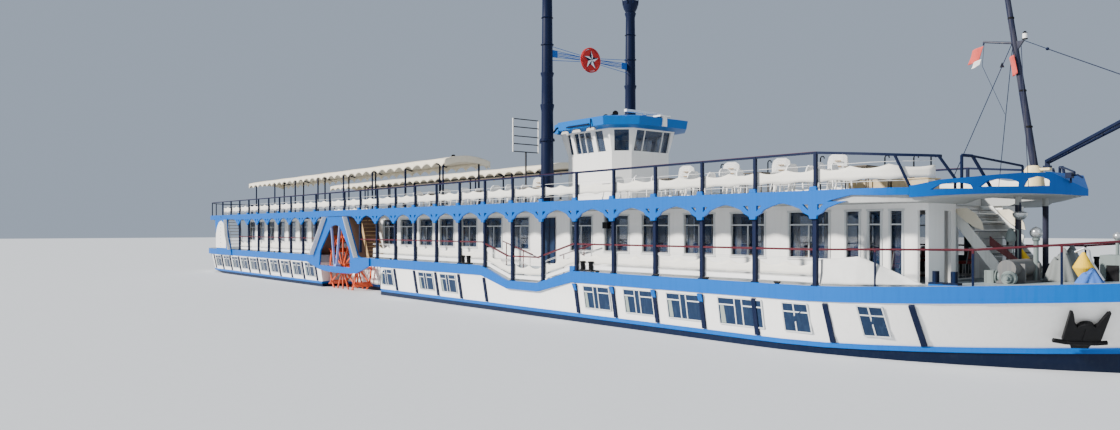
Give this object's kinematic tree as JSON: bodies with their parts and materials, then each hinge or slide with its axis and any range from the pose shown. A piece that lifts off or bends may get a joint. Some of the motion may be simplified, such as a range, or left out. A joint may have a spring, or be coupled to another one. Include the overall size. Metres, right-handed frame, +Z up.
{
  "type": "paddle steamer, half-size scale model",
  "caption": "Half-size model of a side-wheel river excursion steamer with two decks, arcaded galleries, folding twin funnels, awnings, wheelhouse, mast and boom.",
  "frame": {"origin": "amidships on the centre line at the waterline", "axes": "+X to the bow, +Y to port, +Z up"},
  "size_m": [34.8, 4.96, 7.53],
  "materials": {
    "hull_dark": "satin",
    "blue": "satin",
    "sky_blue": "satin",
    "white": "satin",
    "navy": "satin",
    "deck": "matt",
    "canvas": "matt",
    "wood": "satin",
    "glass": "polished",
    "wheel_red": "satin",
    "star_red": "satin",
    "black": "satin",
    "iron": "matt"
  },
  "bodies": {
    "hull": {"hull_bottom": "hull_dark", "rubbing_strake": "blue", "topsides": "white", "main_deck": "blue", "foredeck": "blue", "engine_block": "iron", "paddle_box_starboard": "blue", "paddle_box_port": "blue", "wheel_stairs_starboard": "wood", "wheel_stairs_port": "wood", "saloon_walls": "white", "saloon_glass_starboard": "glass", "saloon_glass_port": "glass", "lounge_walls": "white", "sun_deck": "deck", "arcade_starboard": "blue", "arcade_port": "blue", "gallery_rail_aft_starboard": "navy", "gallery_rail_aft_port": "navy", "gallery_rail_fore_starboard": "navy", "gallery_rail_fore_port": "navy", "gate_rail_starboard": "navy", "gate_rail_port": "navy", "sun_rail_starboard": "navy", "sun_rail_port": "navy", "gallery_cloth_fore_starboard": "canvas", "gallery_cloth_fore_port": "canvas", "gallery_cloth_aft_starboard": "canvas", "gallery_cloth_aft_port": "canvas", "sun_cloth_starboard": "canvas", "sun_cloth_port": "canvas", "awning_starboard": "canvas", "awning_port": "canvas", "awning_frame_starboard": "navy", "awning_frame_port": "navy", "funnel_foot_starboard": "navy", "funnel_foot_port": "navy", "wheelhouse_walls": "white", "wheelhouse_glass": "glass", "wheelhouse_roof": "sky_blue", "slat_board": "white", "fore_crown": "blue", "fore_stairs": "white", "anchor_windlass": "iron", "fore_rail_starboard": "navy", "fore_rail_port": "navy", "mast": "navy"},
    "wheel_starboard": {"paddle_wheel_starboard": "wheel_red"},
    "wheel_port": {"paddle_wheel_port": "wheel_red"},
    "rudder_starboard": {"rudder_starboard": "hull_dark"},
    "rudder_port": {"rudder_port": "hull_dark"},
    "funnels": {"funnel_starboard": "navy", "funnel_port": "navy", "star_spreader": "star_red"},
    "boom_swivel": {"boom_swivel": "navy"},
    "boom": {"boom": "navy"},
    "radar": {"radar_scanner": "white"},
    "wheelhouse_door": {"wheelhouse_door": "white"},
    "saloon_door_starboard": {"saloon_door_starboard": "white"},
    "saloon_door_port": {"saloon_door_port": "white"}
  },
  "joints": [
    {"name": "starboard_wheel_turn", "type": "hinge", "parent": "hull", "child": "wheel_starboard", "pos_m": [-4.47, -1.875, 0.625], "axis": [0, 1, 0], "continuous": true},
    {"name": "port_wheel_turn", "type": "hinge", "parent": "hull", "child": "wheel_port", "pos_m": [-4.47, 1.875, 0.625], "axis": [0, 1, 0], "continuous": true},
    {"name": "rudder_steer", "type": "hinge", "parent": "hull", "child": "rudder_starboard", "pos_m": [-16.45, -0.7, -0.3], "axis": [0, 0, 1], "range_deg": [-35, 35]},
    {"name": "port_rudder_steer", "type": "hinge", "parent": "hull", "child": "rudder_port", "pos_m": [-16.45, 0.7, -0.3], "axis": [0, 0, 1], "range_deg": [-35, 35]},
    {"name": "funnel_fold", "type": "hinge", "parent": "hull", "child": "funnels", "pos_m": [3.632, 0, 3.603], "axis": [0, -1, 0], "range_deg": [0, 88]},
    {"name": "boom_swing", "type": "hinge", "parent": "hull", "child": "boom_swivel", "pos_m": [13.05, 0, 2.5], "axis": [0, 0, 1], "range_deg": [-70, 70]},
    {"name": "boom_luff", "type": "hinge", "parent": "boom_swivel", "child": "boom", "pos_m": [13.05, 0, 2.61], "axis": [0, -1, 0], "range_deg": [-18, 45]},
    {"name": "radar_turn", "type": "hinge", "parent": "hull", "child": "radar", "pos_m": [5.485, 0, 4.1], "axis": [0, 0, 1], "continuous": true},
    {"name": "wheelhouse_door_swing", "type": "hinge", "parent": "hull", "child": "wheelhouse_door", "pos_m": [4.04, 0.173, 2.7], "axis": [0, 0, -1], "range_deg": [0, 100]},
    {"name": "starboard_saloon_door_swing", "type": "hinge", "parent": "hull", "child": "saloon_door_starboard", "pos_m": [4.583, -1.592, 1.4], "axis": [0, 0, 1], "range_deg": [0, 100]},
    {"name": "port_saloon_door_swing", "type": "hinge", "parent": "hull", "child": "saloon_door_port", "pos_m": [4.583, 1.592, 1.4], "axis": [0, 0, -1], "range_deg": [0, 100]}
  ],
  "couplings": [
    {"joint": "port_rudder_steer", "follows": "rudder_steer", "ratio": 1}
  ]
}
